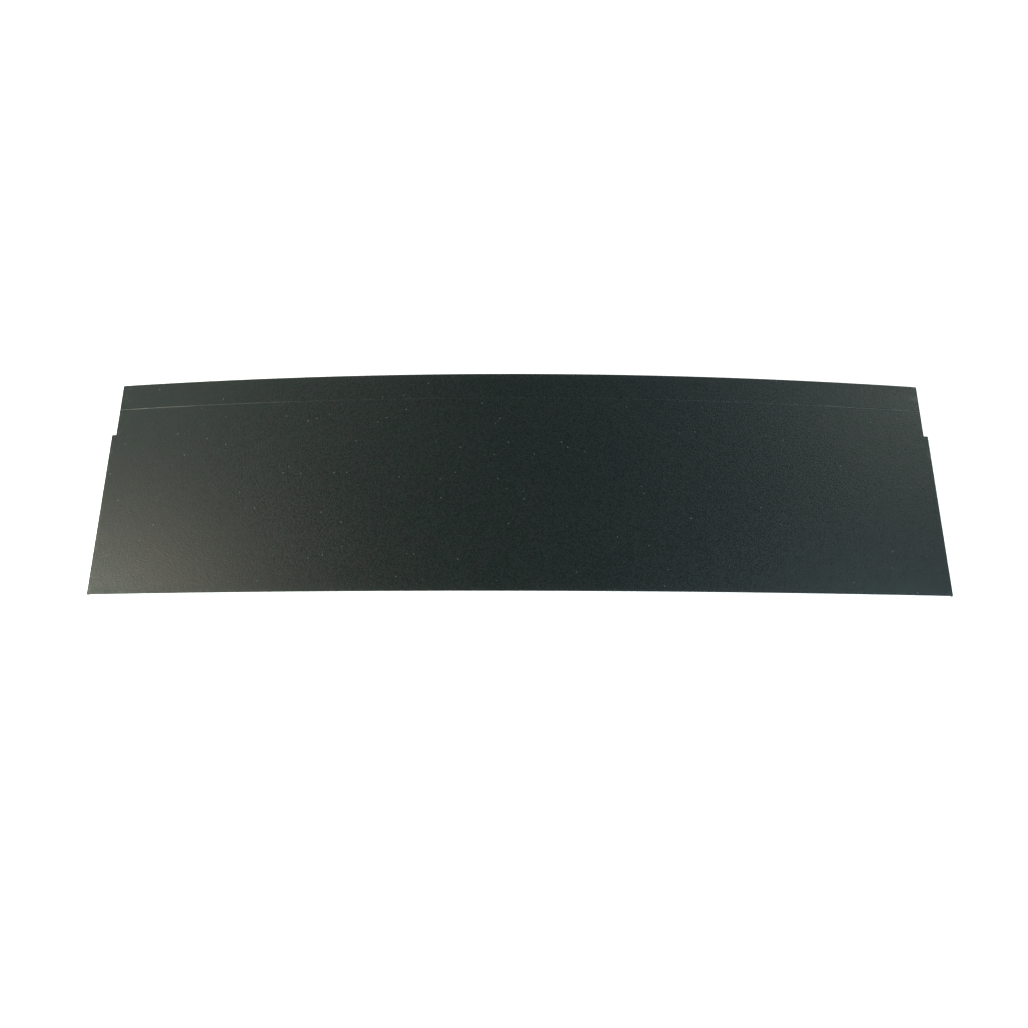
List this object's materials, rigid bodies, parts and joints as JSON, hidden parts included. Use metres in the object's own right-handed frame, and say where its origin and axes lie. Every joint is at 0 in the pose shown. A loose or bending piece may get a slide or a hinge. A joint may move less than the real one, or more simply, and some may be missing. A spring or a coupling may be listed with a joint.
{
  "type": "door kick plate",
  "caption": "Formed steel door kick plate with an arched top edge, folded sides, a pressed line near the top and foam mounting tape behind, still under its peel-off liners.",
  "frame": {"origin": "middle of the plane that meets the door, halfway along the width and the height, which is the underside as the plate lies face up", "axes": "+X along the width to the right as seen from the front, +Y up the door towards the arched top edge, +Z out of the face and away from the door"},
  "size_m": [0.762, 0.2168, 0.0046],
  "materials": {
    "powder_coat": "satin, fine-textured powder coat, black with a slate green cast",
    "foam_tape": "matte closed-cell foam, dark grey",
    "release_liner": "satin film, red, lightly embossed"
  },
  "bodies": {
    "root": {"face_plate": "powder_coat", "tape_top": "foam_tape", "tape_bottom": "foam_tape", "tape_left": "foam_tape", "tape_left_mid": "foam_tape", "tape_centre": "foam_tape", "tape_right_mid": "foam_tape", "tape_right": "foam_tape", "liner_top": "release_liner", "liner_bottom": "release_liner", "liner_left": "release_liner", "liner_left_mid": "release_liner", "liner_centre": "release_liner", "liner_right_mid": "release_liner", "liner_right": "release_liner"}
  },
  "joints": []
}
